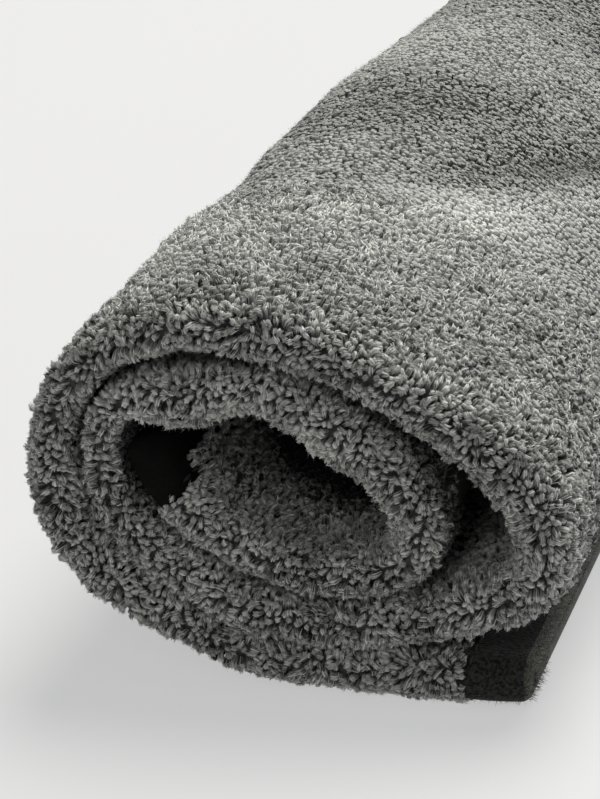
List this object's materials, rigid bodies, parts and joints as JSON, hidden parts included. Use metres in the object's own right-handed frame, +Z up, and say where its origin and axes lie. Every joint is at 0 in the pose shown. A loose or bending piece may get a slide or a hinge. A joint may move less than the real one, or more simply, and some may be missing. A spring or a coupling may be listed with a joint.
{
  "type": "quick dry towel",
  "caption": "Thick plush quick-dry towel with a felt edge binding, folded in half and loosely rolled up, lying on its free end.",
  "frame": {"origin": "centre of the roll's bounding box, at floor level", "axes": "+Z up, +Y along the roll away from its folded edge, +X towards the side where the free end shows"},
  "size_m": [0.0824, 0.4108, 0.0636],
  "materials": {
    "grey_plush": "deep plush pile in clumped tufts",
    "black_binding": "fine matt felt with a short nap",
    "black_thread": "twisted sewing thread, slight sheen"
  },
  "bodies": {
    "free_end": {"free_end_cloth": "grey_plush", "free_end_binding": "black_binding", "free_end_outer_hem": "black_binding", "free_end_inner_hem": "black_binding", "free_end_binding_stitching": "black_thread", "free_end_hem_stitching": "black_thread"},
    "roll": {"rolled_cloth": "grey_plush", "inner_end_binding": "black_binding", "rolled_outer_hem": "black_binding", "rolled_inner_hem": "black_binding", "inner_end_binding_stitching": "black_thread", "rolled_hem_stitching": "black_thread"}
  },
  "joints": [
    {"name": "unroll", "type": "hinge", "parent": "free_end", "child": "roll", "pos_m": [-0.008, 0, 0], "axis": [0, -1, 0], "range_deg": [0, 18]}
  ]
}
